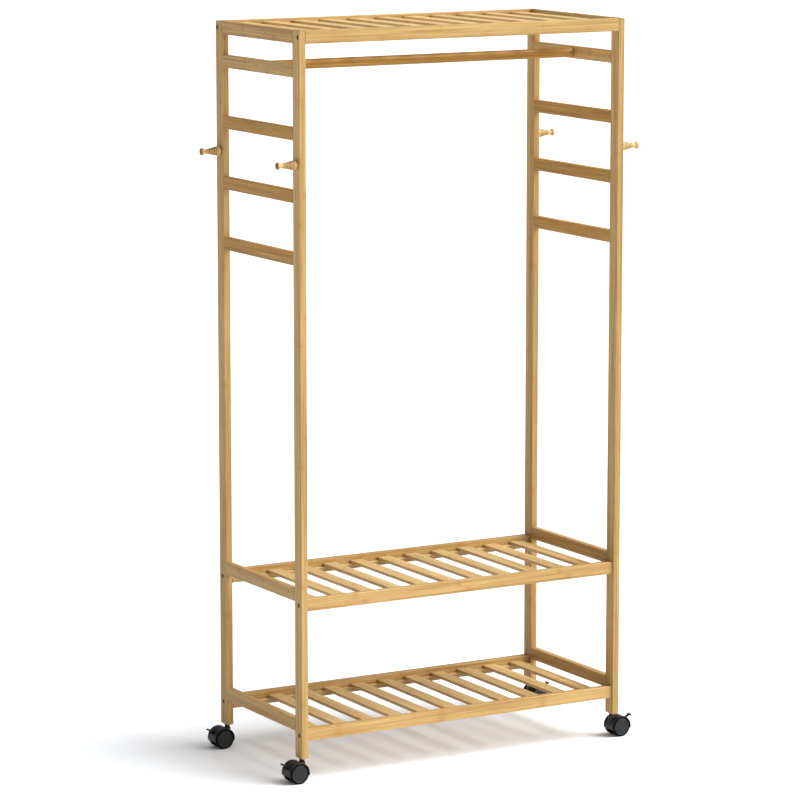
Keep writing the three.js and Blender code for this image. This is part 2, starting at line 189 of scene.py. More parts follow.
class ClothesRackHardware(bpy.types.PropertyGroup):
    """The casters, bolts and screws: their sizes and their finishes"""

    wheel_radius: length("Wheel radius", "Radius of a caster's wheel", 23)
    trail: length("Trail", "From the swivel axis to the axle", 15.5)
    bolt_head_radius: length("Bolt head radius", "Radius of a frame bolt's head", 4.5)
    bolt_key: length("Bolt key", "Across the flats of a frame bolt's hexagon socket", 4)
    plastic: colour("Housing plastic", "Colour of the housings and pedals", (0.0052, 0.0052, 0.0050))
    tyre: colour("Tyre", "Colour of the wheels' tyres", (0.0014, 0.0014, 0.0014))
    face: colour("Wheel face", "Colour of the discs on the wheels' faces", (0.0080, 0.0080, 0.0079))
    zinc: colour("Zinc", "Colour of the zinc plated steel", (0.30, 0.235, 0.165))
    blackened: colour("Blackened steel", "Colour of the blackened steel", (0.085, 0.066, 0.046))


class ClothesRackStage(bpy.types.PropertyGroup):
    """The floor, the lights and the camera"""

    floor: colour("Floor", "Colour of the floor", (0.80, 0.80, 0.798))
    ambient: strength("Ambient", "Strength of the soft light all round", 0.4)
    slope: strength("Slope", "How much brighter the soft light is on the key light's side", 0.62)
    horizon: strength("Horizon", "Strength of the light at the horizon", 1.0)
    key: strength("Key light", "Strength of the key light", 5.8)
    key_color: colour("Key colour", "Colour of the key light", (0.90, 0.945, 1.0))
    key_angle: angle("Key softness", "How wide the key light is", 48)
    camera_place: FloatVectorProperty(
        name="Camera place",
        description="Where the camera stands",
        default=(-4.3262, -7.3845, 2.2121),
        subtype="TRANSLATION",
    )
    camera_yaw: angle("Camera yaw", "Turn of the camera from looking straight back", 30.049)
    camera_dip: angle("Camera dip", "How far the camera looks down", 9.42)
    lens: FloatProperty(
        name="Lens",
        description="Focal length of the camera",
        default=172.86,
        subtype="DISTANCE_CAMERA",
    )


# ------------------------------------------------------------------------------ finishes


class Value:
    """A shader socket to reckon with: an expression on values adds its Math nodes."""

    def __init__(self, nodes, socket):
        self.nodes = nodes
        self.socket = socket

    def _math(self, operation, *operands):
        return self.nodes.node("ShaderNodeMath", {"operation": operation}, dict(enumerate(operands)))

    def __add__(self, other):
        return self._math("ADD", self, other)

    __radd__ = __add__

    def __sub__(self, other):
        return self._math("SUBTRACT", self, other)

    def __rsub__(self, other):
        return self._math("SUBTRACT", other, self)

    def __mul__(self, other):
        return self._math("MULTIPLY", self, other)

    __rmul__ = __mul__

    def __abs__(self):
        return self._math("ABSOLUTE", self)

    def floor(self):
        return self._math("FLOOR", self)

    def fraction(self):
        return self._math("FRACT", self)

    def rise(self, low, high):
        """0 below low, 1 above high, and smooth between."""
        sockets = {0: self, 1: low, 2: high, 3: 0.0, 4: 1.0}
        return self.nodes.node("ShaderNodeMapRange", {"interpolation_type": "SMOOTHSTEP"}, sockets)

    def parts(self):
        """The three parts of a vector."""
        split = self.nodes.node("ShaderNodeSeparateXYZ", {}, {0: self}).socket.node
        return [Value(self.nodes, output) for output in split.outputs]


class Nodes:
    """A node tree, put together node by node."""

    def __init__(self, tree):
        self.tree = tree

    def node(self, kind, settings, sockets, output=0):
        """Adds a node: its settings first, then the values or links of its sockets."""
        made = self.tree.nodes.new(kind)
        for key, value in settings.items():
            setattr(made, key, value)
        for key, value in sockets.items():
            self.feed(made.inputs[key], value)
        return Value(self, made.outputs[output])

    def feed(self, socket, value):
        if isinstance(value, Value):
            self.tree.links.new(value.socket, socket)
        else:
            socket.default_value = value


class Finish(Nodes):
    """A procedural material."""

    def __init__(self, name):
        self.material = bpy.data.materials.new(name)
        self.material.use_nodes = True
        super().__init__(self.material.node_tree)
        self.shader = self.tree.nodes["Principled BSDF"]

    def surface(self, **sockets):
        """Sets the shader's own sockets, such as base_color."""
        names = {socket.name.lower().replace(" ", "_"): socket for socket in self.shader.inputs}
        for name, value in sockets.items():
            self.feed(names[name], value)
        return self.material

    def vector(self, x, y, z):
        return self.node("ShaderNodeCombineXYZ", {}, {0: x, 1: y, 2: z})

    def attribute(self, name, output="Vector"):
        return self.node("ShaderNodeAttribute", {"attribute_name": name}, {}, output)

    def place(self):
        """The point of the rack that is being shaded, in metres."""
        return self.node("ShaderNodeTexCoord", {}, {}, "Object")

    def noise(self, vector, scale=1.0, detail=2.0):
        return self.node("ShaderNodeTexNoise", {}, {"Vector": vector, "Scale": scale, "Detail": detail})

    def random(self, vector):
        """Three random numbers that are the same all over a cell, as a vector."""
        return self.node("ShaderNodeTexWhiteNoise", {}, {"Vector": vector}, "Color")

    def specks(self, vector, scale):
        return self.node("ShaderNodeTexVoronoi", {}, {"Vector": vector, "Scale": scale})

    def mix(self, amount, one, other):
        """From one colour to another, as amount goes from 0 to 1."""
        return self.node("ShaderNodeMix", {"data_type": "RGBA"}, {0: amount, 6: one, 7: other}, 2)

    def bump(self, height, depth, strength=1.0):
        return self.node("ShaderNodeBump", {}, {"Height": height, "Distance": depth, "Strength": strength})


def rgba(color, gain=1.0):
    """A colour, made lighter or darker, as a shader socket takes it."""
    return (*[channel * gain for channel in color], 1.0)


def bamboo_finish(name, deepen, tint=(1.0, 1.0, 1.0), steamed=False, toasting=0.22):
    """Strips of bamboo glued side by side, with fibres, streaks, knuckles and a satin lacquer.

    The grain attribute is the place in the board: along, across and through it, in metres. The
    lamella attribute counts the strips across and through it, and ends with the board's lot.
    """
    settings = bpy.context.scene.clothes_rack_bamboo
    tint = settings.toast if steamed else tint
    pale, golden, amber = (
        rgba([channel * part for channel, part in zip(color, tint)])
        for color in (settings.pale, settings.golden, settings.amber)
    )
    knuckle = rgba(settings.knuckle)
    finish = Finish(name)
    along, across, through = finish.attribute("grain").parts()
    strip_across, strip_through, lot = finish.attribute("lamella").parts()
    cut_end = finish.attribute("cut_end", "Fac")
    cell = finish.vector(strip_across.floor(), strip_through.floor(), lot)
    tone, phase, warmth = finish.random(cell).parts()

    run = along + tone * STRIP_OFFSET
    sway = finish.noise(finish.vector(run * 7.0, lot, 0.0)) * 0.003
    swayed = across + sway

    def grain(kind, detail=2.0, strip_shift=None):
        """Grain of one kind, drawn out along the board."""
        often_along, often_across = GRAIN[kind]
        inwards = through * often_across
        if strip_shift:
            inwards = inwards + strip_shift
        return finish.noise(finish.vector(run * often_along, swayed * often_across, inwards), detail=detail)

    bands = grain("bands")
    streaks = grain("streaks", detail=3.0)
    fibres = grain("fibres", detail=3.0)
    lines = grain("lines").rise(0.60, 0.74)
    patches = grain("patches", strip_shift=phase * 9.0)
    flecks = grain("flecks").rise(0.62, 0.74)

    knuckles_passed = run * (1.0 / KNUCKLE_SPACING) + phase
    from_knuckle = abs(knuckles_passed.fraction() - 0.5) * KNUCKLE_SPACING
    ragged = from_knuckle + (fibres - 0.5) * 0.006
    glow = (1.0 - ragged.rise(0.001, 0.017)) * (0.25 + 0.75 * warmth)
    ridge = 1.0 - from_knuckle.rise(0.0004, 0.0016)
    glue = abs(strip_across.fraction() - 0.5).rise(0.486, 0.499)

    streaking = (bands - 0.5) * 1.5 + (streaks - 0.5) * 1.5 + (fibres - 0.5) * 0.7
    depth = deepen + tone * 0.24 + streaking
    color = finish.mix(depth.rise(-0.25, 1.25), pale, golden)
    toasted = (warmth * 0.5 + patches - 0.25).rise(0.25, 0.85)
    for mark, mark_color in (
        (toasted * toasting, amber),
        (glow * 0.34, amber),
        (flecks * 0.20, amber),
        (lines * 0.20, knuckle),
        (ridge * 0.22, knuckle),
        (glue * 0.38, knuckle),
    ):
        color = finish.mix(mark, color, mark_color)
    pores = 1.0 - finish.specks(finish.vector(across, through, along * 0.1), 1100.0).rise(0.18, 0.42)
    end_color = finish.mix(pores * 0.7, rgba(settings.golden, 0.86), rgba(settings.knuckle, 1.2))
    color = finish.mix(cut_end, color, end_color)

    wear = fibres * 0.10 + streaks * 0.06 + cut_end * 0.22 - ridge * 0.06
    height = fibres * 0.8 + streaks * 0.3 - glue * 0.9 - ridge * 0.5 - flecks * 0.4 - pores * cut_end
    return finish.surface(
        base_color=color,
        roughness=wear + (settings.roughness - 0.07),
        specular_ior_level=0.16,
        coat_weight=settings.lacquer,
        coat_roughness=0.24,
        normal=finish.bump(height, 0.00007, 0.8),
    )


def moulded_finish(name, color_name, roughness, speckle, gloss):
    """Moulded plastic: a fine spark-eroded texture, with faint handling marks and dust."""
    color = getattr(bpy.context.scene.clothes_rack_hardware, color_name)
    dusty = (0.022, 0.0215, 0.0205)
    finish = Finish(name)
    place = finish.place()
    leather = finish.noise(place, 2400.0, 3.0)
    clouds = finish.noise(place, 95.0, 4.0)
    marks = finish.noise(place, 420.0, 2.0).rise(0.58, 0.72)
    tint = finish.mix(clouds.rise(0.35, 0.75) * 0.55, rgba(color), rgba(color, 1.55))
    tint = finish.mix(marks * 0.22, tint, rgba(dusty))
    return finish.surface(
        base_color=tint,
        roughness=roughness + clouds * 0.10 + marks * 0.06 - leather * 0.05,
        specular_ior_level=gloss,
        normal=finish.bump(leather, speckle, 0.6),
    )


def steel_finish(name, color_name, roughness, metallic):
    """Plated or blackened steel, with the soft mottle and fine scratches of bulk hardware."""
    color = getattr(bpy.context.scene.clothes_rack_hardware, color_name)
    finish = Finish(name)
    place = finish.place()
    mottle = finish.noise(place, 260.0, 3.0)
    x, y, z = place.parts()
    scratches = finish.noise(finish.vector(x * 350.0, y * 4200.0, z * 4200.0))
    tint = finish.mix(mottle.rise(0.3, 0.7), rgba(color, 0.84), rgba(color, 1.12))
    return finish.surface(
        base_color=tint,
        metallic=metallic,
        roughness=roughness + mottle * 0.16 + scratches.rise(0.45, 0.8) * 0.10,
        normal=finish.bump(scratches, 0.00002, 0.5),
    )


def floor_finish(name):
    """A pale painted studio floor."""
    color = bpy.context.scene.clothes_rack_stage.floor
    finish = Finish(name)
    mottle = finish.noise(finish.place(), 3.0, 3.0)
    tint = finish.mix(mottle * 0.5, rgba(color), rgba(color, 0.985))
    return finish.surface(base_color=tint, roughness=0.85, specular_ior_level=0.12)


def build_finish(name):
    if name in BAMBOO_LOOKS:
        return bamboo_finish(name, **BAMBOO_LOOKS[name])
    if name in MOULDED_LOOKS:
        return moulded_finish(name, **MOULDED_LOOKS[name])
    if name in STEEL_LOOKS:
        return steel_finish(name, **STEEL_LOOKS[name])
    return floor_finish(name)


def finish_named(name):
    """Each finish is made once, when the first piece asks for it."""
    if name not in finishes:
        finishes[name] = build_finish(name)
    return finishes[name]


# ------------------------------------------------------------------------------ making shapes


def bevel(shape, edges, radius, segments):
    """Rounds edges."""
    bmesh.ops.bevel(
        shape,
        geom=edges,
        offset=radius,
        offset_type="OFFSET",
        affect="EDGES",
        segments=segments,
        profile=0.5,
        material=-1,
        clamp_overlap=True,
    )


def box_shape(low, high):
    """A plain block between two corners."""
    shape = bmesh.new()
    bmesh.ops.create_cube(shape, size=1.0)
    bmesh.ops.scale(shape, vec=high - low, verts=shape.verts)
    bmesh.ops.translate(shape, vec=(high + low) / 2, verts=shape.verts)
    return shape


def board_shape(low, high, axis, edge_radius, end_radius):
    """A board with rounded long edges, finely rounded where it is cut off."""
    shape = box_shape(low, high)
    runs = {edge: edge.verts[1].co - edge.verts[0].co for edge in shape.edges}
    long_edges = [edge for edge, run in runs.items() if abs(run.normalized()[axis]) > 0.9]
    bevel(shape, long_edges, edge_radius, 3)
    shape.normal_update()
    ends = {face for face in shape.faces if abs(face.normal[axis]) > 0.9}
    rims = [edge for edge in shape.edges if sum(face in ends for face in edge.link_faces) == 1]
    bevel(shape, rims, end_radius, 2)
    return shape


def closed(shape):
    """Merges the doubles of a swept shape and turns its faces outwards."""
    bmesh.ops.remove_doubles(shape, verts=shape.verts, dist=0.001 * MM)
    bmesh.ops.recalc_face_normals(shape, faces=shape.faces)
    return shape


def turned_shape(profile, steps):
    """A profile of [radius, height] in millimetres, turned about Z. Both its ends lie on the axis."""
    shape = bmesh.new()
    verts = [shape.verts.new((radius * MM, 0, height * MM)) for radius, height in profile]
    edges = [shape.edges.new(pair) for pair in zip(verts, verts[1:])]
    bmesh.ops.spin(
        shape,
        geom=verts + edges,
        axis=(0, 0, 1),
        cent=(0, 0, 0),
        angle=2 * math.pi,
        steps=steps,
        use_merge=True,
    )
    return closed(shape)


def swept_shape(section, start, end, steps):
    """A closed section of [radius, y] in millimetres, swept about Y between two angles in degrees
    that rise from +X, and closed at both ends."""
    shape = bmesh.new()
    verts = [shape.verts.new((radius * MM, y * MM, 0)) for radius, y in section]
    edges = [shape.edges.new(pair) for pair in zip(verts, verts[1:] + verts[:1])]
    to_start = Matrix.Rotation(-math.radians(start), 3, "Y")
    bmesh.ops.rotate(shape, verts=verts, cent=(0, 0, 0), matrix=to_start)
    bmesh.ops.spin(
        shape,
        geom=verts + edges,
        axis=(0, -1, 0),
        cent=(0, 0, 0),
        angle=math.radians(end - start),
        steps=steps,
    )
    bmesh.ops.holes_fill(shape, edges=[e for e in shape.edges if e.is_boundary], sides=0)
    return closed(shape)


def rod_shape(radius, half_length, softness, steps=32):
    """A round pin about Z with softened ends, in millimetres."""
    return turned_shape(
        [
            (0, -half_length),
            (radius - softness, -half_length),
            (radius, -half_length + softness),
            (radius, half_length - softness),
            (radius - softness, half_length),
            (0, half_length),
        ],
        steps,
    )


def moved(shape, place=(0, 0, 0), direction=None, matrix=None):
    """Points a shape's Z in a direction and puts it in its place."""
    turn = Vector(direction).to_track_quat("Z", "Y").to_matrix().to_4x4() if direction else Matrix()
    whole = Matrix.Translation(place) @ turn
    bmesh.ops.transform(shape, matrix=(matrix @ whole) if matrix else whole, verts=shape.verts)
    return shape


def linked(name, shape):
    """An object of this shape, in the scene."""
    mesh = bpy.data.meshes.new(name)
    shape.to_mesh(mesh)
    piece = bpy.data.objects.new(name, mesh)
    bpy.context.scene.collection.objects.link(piece)
    return piece


def carved(shape, tool, operation="DIFFERENCE"):
    """The shape with the tool's shape taken away from it, or joined to it."""
    blank, cutter = linked("blank", shape), linked("cutter", tool)
    carve = blank.modifiers.new("carve", "BOOLEAN")
    carve.operation = operation
    carve.solver = "EXACT"
    carve.object = cutter
    evaluated = blank.evaluated_get(bpy.context.evaluated_depsgraph_get())
    result = bmesh.new()
    result.from_mesh(evaluated.to_mesh())
    evaluated.to_mesh_clear()
    for spent in (blank, cutter):
        mesh = spent.data
        bpy.data.objects.remove(spent)
        bpy.data.meshes.remove(mesh)
    shape.free()
    tool.free()
    return result


def joined(*shapes):
    """The shapes as one solid."""
    whole = shapes[0]
    for shape in shapes[1:]:
        whole = carved(whole, shape, "UNION")
    return whole


def mark_grain(shape, axis, across_axis, strips):
    """Writes where each point lies in its board, and which strips it is glued from."""
    low = Vector(min(v.co[i] for v in shape.verts) for i in range(3))
    high = Vector(max(v.co[i] for v in shape.verts) for i in range(3))
    centre, size = (low + high) / 2, high - low
    through_axis = 3 - axis - across_axis
    lot, start = lots.uniform(1.0, 90.0), lots.uniform(0.0, 4.0)
    grain = shape.verts.layers.float_vector.new("grain")
    lamella = shape.verts.layers.float_vector.new("lamella")
    for vert in shape.verts:
        off = vert.co - centre
        vert[grain] = (off[axis] + start, off[across_axis], off[through_axis])
        shares = [off[i] / size[i] * 0.99 * n for i, n in zip((across_axis, through_axis), strips)]
        vert[lamella] = (*[s + n / 2 for s, n in zip(shares, strips)], lot)
    shape.normal_update()
    cut_end = shape.faces.layers.float.new("cut_end")
    for face in shape.faces:
        face[cut_end] = float(abs(face.normal[axis]) > 0.8)


def hold_flats(mesh, shape, limit=math.cos(math.radians(42))):
    """Weighs each corner's normal by the faces around it, so that a flat stays flat between its
    rounded edges and a sharp edge stays sharp."""
    shape.normal_update()
    areas = [face.calc_area() for face in shape.faces]
    normals = []
    for face in shape.faces:
        for vert in face.verts:
            total = Vector()
            for other in vert.link_faces:
                if other.normal.dot(face.normal) > limit:
                    total += other.normal * areas[other.index]
            normals.append(total.normalized())
    mesh.polygons.foreach_set("use_smooth", [True] * len(mesh.polygons))
    mesh.normals_split_custom_set(normals)


def finished(name, shape, body, slot, nodes=(), finish=None):
    """Makes the piece from its shape, gives it its finish and hangs it on its body."""
    shape.faces.index_update()
    piece = linked(name, shape)
    hold_flats(piece.data, shape)
    shape.free()
    piece.data.materials.append(finish_named(finish or slot))
    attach(piece, body)
    if nodes:
        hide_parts(*nodes)
    return piece


def corner_frame(end_name, side_name):
    """From a caster's own frame, with X the way its wheels trail, to the rack's."""
    low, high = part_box(f"post_{end_name}_{side_name}")
    centre = (low + high) / 2
    turn = Matrix.Rotation(math.pi if side_name == "left" else 0.0, 4, "Z")
    return Matrix.Translation((centre.x, centre.y, 0.0)) @ turn


def bolt_places(end_name, side_name):
    """Where the frame bolts' axes meet a post's outer face."""
    low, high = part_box(f"post_{end_name}_{side_name}")
    face = high.x if SIDES[side_name] > 0 else low.x
    for shelf in SHELVES:
        rail_low, rail_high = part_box(f"{shelf}_shelf_{end_name}_rail")
        middle = (rail_low + rail_high) / 2
        yield shelf, Vector((face, middle.y, middle.z))


# ------------------------------------------------------------------------------ frame pieces


class CLOTHESRACK_OT_posts(bpy.types.Operator):
    """Make the four posts, with the recesses that the frame bolts sit in"""

    bl_idname = "clothesrack.posts"
    bl_label = "Posts"

    chamfer = 0.4  # at the mouth of a recess, in millimetres

    def execute(self, context):
        bamboo = context.scene.clothes_rack_bamboo
        radius, depth = bamboo.recess_radius / MM, bamboo.recess_depth / MM
        mouth = radius + self.chamfer
        recess = [(0, -depth), (radius, -depth), (radius, -0.35), (mouth, 0), (mouth, 1), (0, 1)]
        for end_name, side_name in CORNERS:
            node = f"post_{end_name}_{side_name}"
            shape = board_shape(*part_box(node), Z, bamboo.edge_radius, 2 * bamboo.end_radius)
            outwards = (SIDES[side_name], 0, 0)
            for _, place in bolt_places(end_name, side_name):
                shape = carved(shape, moved(turned_shape(recess, 40), place, outwards))
            mark_grain(shape, Z, Y, (2, 2))
            finished(f"bamboo_{node}", shape, "rack", "bamboo_frame", [node])
        return {"FINISHED"}


class CLOTHESRACK_OT_side_boards(bpy.types.Operator):
    """Make the boards that join the posts of each side, with the rod rails' countersinks"""

    bl_idname = "clothesrack.side_boards"
    bl_label = "Side Boards"

    countersink = [(0, -17), (2.5, -17), (2.5, -3.6), (4.8, 0), (4.8, 1), (0, 1)]

    def execute(self, context):
        bamboo = context.scene.clothes_rack_bamboo
        for side_name, side in SIDES.items():
            for board in SIDE_BOARDS:
                node = f"{board}_{side_name}"
                low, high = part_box(node)
                shape = board_shape(low, high, Y, bamboo.edge_radius, bamboo.end_radius)
                if board == "rod_rail":
                    outer = Vector((high.x if side > 0 else low.x, 0, (low.z + high.z) / 2))
                    sink = moved(turned_shape(self.countersink, 40), outer, (side, 0, 0))
                    shape = carved(shape, sink)
                mark_grain(shape, Y, Z, (2, 2))
                finish = "golden_bamboo" if board.startswith("rung") else "bamboo_frame"
                finished(f"bamboo_{node}", shape, "rack", "bamboo_frame", [node], finish)
        return {"FINISHED"}


class CLOTHESRACK_OT_shelf_rails(bpy.types.Operator):
    """Make the front and rear rails of the three shelves, with their barrel nuts"""

    bl_idname = "clothesrack.shelf_rails"
    bl_label = "Shelf Rails"

    nut_radius = 4.5
    nut_half_length = 5.5
    nut_inset = 24 * MM  # from the rail's end
    nut_depth = 6.3 * MM  # of the nut's middle, from the rail's lower face
    bore_depth = 12
    bore_play = 0.15

    def execute(self, context):
        bamboo = context.scene.clothes_rack_bamboo
        bore_radius = self.nut_radius + self.bore_play
        bore = [(0, -self.bore_depth), (bore_radius, -self.bore_depth), (bore_radius, 1), (0, 1)]
        driver_slot = box_shape(Vector((-6, -0.6, 4.4)) * MM, Vector((6, 0.6, 7)) * MM)
        nut = carved(rod_shape(self.nut_radius, self.nut_half_length, 0.4), driver_slot)
        for shelf in SHELVES:
            for end_name in ENDS:
                node = f"{shelf}_shelf_{end_name}_rail"
                low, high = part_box(node)
                shape = board_shape(low, high, X, bamboo.edge_radius, bamboo.end_radius)
                for side_name, side in SIDES.items():
                    nut_x = side * (high.x - self.nut_inset)
                    place = Vector((nut_x, (low.y + high.y) / 2, low.z))
                    shape = carved(shape, moved(turned_shape(bore, 32), place, (0, 0, -1)))
                    barrel = moved(nut.copy(), place + Vector((0, 0, self.nut_depth)), (0, 0, -1))
                    name = f"barrel_nut_{shelf}_{end_name}_{side_name}"
                    finished(name, barrel, "rack", "zinc_steel")
                mark_grain(shape, X, Z, (2, 2))
                finished(f"bamboo_{node}", shape, "rack", "bamboo_frame", [node])
        nut.free()
        return {"FINISHED"}


class CLOTHESRACK_OT_slats(bpy.types.Operator):
    """Make the slats of the three shelves"""

    bl_idname = "clothesrack.slats"
    bl_label = "Slats"

    def execute(self, context):
        bamboo = context.scene.clothes_rack_bamboo
        for shelf in SHELVES:
            node = f"{shelf}_slat_deck"
            low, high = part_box(node)
            first = low.x + bamboo.slat_margin
            last = high.x - bamboo.slat_margin - bamboo.slat_width
            pitch = (last - first) / (bamboo.slat_count - 1)
            for i in range(bamboo.slat_count):
                start = first + i * pitch
                shape = board_shape(
                    Vector((start, low.y + bamboo.slat_end_gap, high.z - bamboo.slat_thickness)),
                    Vector((start + bamboo.slat_width, high.y - bamboo.slat_end_gap, high.z)),
                    Y,
                    bamboo.slat_edge_radius,
                    bamboo.end_radius,
                )
                mark_grain(shape, Y, X, (2, 1))
                # The top shelf gets the paler copy: a painted highlight for the light on the open top deck.
                finish = "sunlit_slats" if shelf == "top" else "bamboo_slats"
                finished(f"{shelf}_slat_{i + 1:02d}", shape, "rack", "bamboo_slats", [node], finish)
        return {"FINISHED"}


class CLOTHESRACK_OT_battens(bpy.types.Operator):
    """Make the battens that carry the slats along the shelf rails"""

    bl_idname = "clothesrack.battens"
    bl_label = "Battens"

    def execute(self, context):
        bamboo = context.scene.clothes_rack_bamboo
        for shelf in SHELVES:
            node = f"{shelf}_slat_deck"
            low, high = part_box(node)
            for end_name, end in ENDS.items():
                outer = high.y if end > 0 else low.y
                inner = outer - end * bamboo.batten_width
                shape = board_shape(
                    Vector((low.x, min(outer, inner), low.z)),
                    Vector((high.x, max(outer, inner), low.z + bamboo.batten_height)),
                    X,
                    bamboo.slat_edge_radius,
                    bamboo.end_radius,
                )
                mark_grain(shape, X, Y, (1, 1))
                finished(f"{shelf}_batten_{end_name}", shape, "rack", "bamboo_slats", [node])
        return {"FINISHED"}


class CLOTHESRACK_OT_rod(bpy.types.Operator):
    """Make the hanging rod"""

    bl_idname = "clothesrack.rod"
    bl_label = "Hanging Rod"

    def execute(self, context):
        low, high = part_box("hanging_rod")
        centre, size = (low + high) / 2, (high - low) / MM
        shape = moved(rod_shape(size.z / 2, size.x / 2, 0.9, 64), centre, (1, 0, 0))
        mark_grain(shape, X, Y, (2, 1))
        finished("bamboo_hanging_rod", shape, "rack", "bamboo_frame", ["hanging_rod"], "rod_bamboo")
        return {"FINISHED"}


class CLOTHESRACK_OT_pegs(bpy.types.Operator):
    """Turn the four pegs, with their ringed cones and flat knobs"""

    bl_idname = "clothesrack.pegs"
    bl_label = "Pegs"

    tenon = [(0, -11), (4.2, -11), (4.7, -10.5), (4.7, 0.3)]
    base = [(8.6, 0.3), (9.6, 1.0), (10.5, 2.4), (10.95, 4.2), (10.95, 6.0), (10.5, 7.8), (9.8, 8.8)]
    rings = [(10.1, 11.0), (9.3, 15.0), (8.3, 19.0), (7.4, 23.0), (6.7, 26.8), (6.2, 30.4)]
    knob = [(5.5, 33.4), (5.3, 36.5), (5.4, 38.8), (6.1, 40.4), (7.3, 41.4), (8.3, 42.3)]
    face = [(8.7, 43.4), (8.7, 45.0), (8.3, 46.3), (7.4, 47.1), (5.9, 47.6), (3.0, 47.9), (0, 48)]

    def execute(self, context):
        profile = self.tenon + self.base
        for radius, height in self.rings:
            swell = [(radius - 0.95, height - 1.8), (radius, height - 1.1), (radius + 0.1, height)]
            profile += swell + [(radius - 0.1, height + 1.0), (radius - 1.15, height + 1.7)]
        profile += self.knob + self.face
        for end_name, side_name in CORNERS:
            node = f"peg_{end_name}_{side_name}"
            low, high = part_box(node)
            side = SIDES[side_name]
            post_low, post_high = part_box(f"post_{end_name}_{side_name}")
            centre = (low + high) / 2
            foot = Vector((post_high.x if side > 0 else post_low.x, centre.y, centre.z))
            shape = moved(turned_shape(profile, 56), foot, (side, 0, 0))
            mark_grain(shape, X, Y, (1, 1))
            finished(f"turned_{node}", shape, "rack", "turned_wood", [node])
        return {"FINISHED"}


# ------------------------------------------------------------------------------ bolts and screws


class CLOTHESRACK_OT_frame_bolts(bpy.types.Operator):
    """Make the twelve socket-head bolts that hold the shelves between the posts"""

    bl_idname = "clothesrack.frame_bolts"
    bl_label = "Frame Bolts"

    shank = [(0, -38), (2.6, -38), (3.0, -37.5), (3.0, -3.4)]
    sink = 1.0 * MM  # from the post's face to the bolt's head

    def execute(self, context):
        hardware = context.scene.clothes_rack_hardware
        radius = hardware.bolt_head_radius / MM
        head = [(radius, -3.4), (radius, -0.5), (radius - 0.5, 0), (0, 0)]
        bolt = turned_shape(self.shank + head, 40)
        socket = bmesh.new()
        key = hardware.bolt_key / math.sqrt(3)
        bmesh.ops.create_cone(
            socket, cap_ends=True, segments=6, radius1=key * 0.97, radius2=key, depth=5 * MM
        )
        bolt = carved(bolt, socket)
        for end_name, side_name in CORNERS:
            side = SIDES[side_name]
            for shelf, place in bolt_places(end_name, side_name):
                shape = moved(bolt.copy(), place - Vector((side * self.sink, 0, 0)), (side, 0, 0))
                name = f"frame_bolt_{shelf}_{end_name}_{side_name}"
                finished(name, shape, "rack", "blackened_steel")
        bolt.free()
        return {"FINISHED"}


class CLOTHESRACK_OT_rod_screws(bpy.types.Operator):
    """Make the two countersunk screws that hold the rod"""

    bl_idname = "clothesrack.rod_screws"
    bl_label = "Rod Screws"

    shank = [(0, -40), (0.5, -39), (2.0, -35), (2.2, -34), (2.2, -3)]
    head = [(4.1, -0.35), (4.1, -0.1), (3.9, 0), (0, 0)]
    wing = (2.3, 0.45)  # half the length and half the width of the driver's cross
    twist = 28  # how far each screw happens to be turned, in degrees

    def execute(self, context):
        screw = turned_shape(self.shank + self.head, 40)
        for x, y in (self.wing, self.wing[::-1]):
            cut = box_shape(Vector((-x, -y, -2)) * MM, Vector((x, y, 1)) * MM)
            screw = carved(screw, cut)
        for side_name, side in SIDES.items():
            node = f"rod_screw_{side_name}"
            low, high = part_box(node)
            centre = (low + high) / 2
            place = Vector((high.x if side > 0 else low.x, centre.y, centre.z))
            twisted = Matrix.Rotation(math.radians(self.twist * side), 3, "Z")
            shape = screw.copy()
            bmesh.ops.rotate(shape, verts=shape.verts, cent=(0, 0, 0), matrix=twisted)
            moved(shape, place, (side, 0, 0))
            finished(f"zinc_{node}", shape, "rack", "zinc_steel", [node])
        screw.free()
        return {"FINISHED"}


# ------------------------------------------------------------------------------ casters


class CLOTHESRACK_OT_caster_stems(bpy.types.Operator):
    """Make the stems that plug into the posts, with the flange each post stands on"""

    bl_idname = "clothesrack.caster_stems"
    bl_label = "Caster Stems"

    profile = [
        (0, -18.4),
        (2.6, -18.4),
        (3, -18),
        (3, -2.4),
        (6.2, -2.4),
        (6.5, -2.1),
        (6.5, -0.6),
        (6.2, -0.3),
        (4, -0.3),
        (4, 26),
        (3.7, 26.4),
        (3.7, 28),
        (4, 28.4),
        (4, 31.2),
        (3.2, 32),
        (0, 32),
    ]

    def execute(self, context):
        for end_name, side_name in CORNERS:
            node = f"caster_stem_{end_name}_{side_name}"
            post_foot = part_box(f"post_{end_name}_{side_name}")[0].z
            shape = turned_shape(self.profile, 40)
            moved(shape, (0, 0, post_foot), matrix=corner_frame(end_name, side_name))
            finished(f"steel_{node}", shape, "rack", "blackened_steel", [node])
        return {"FINISHED"}


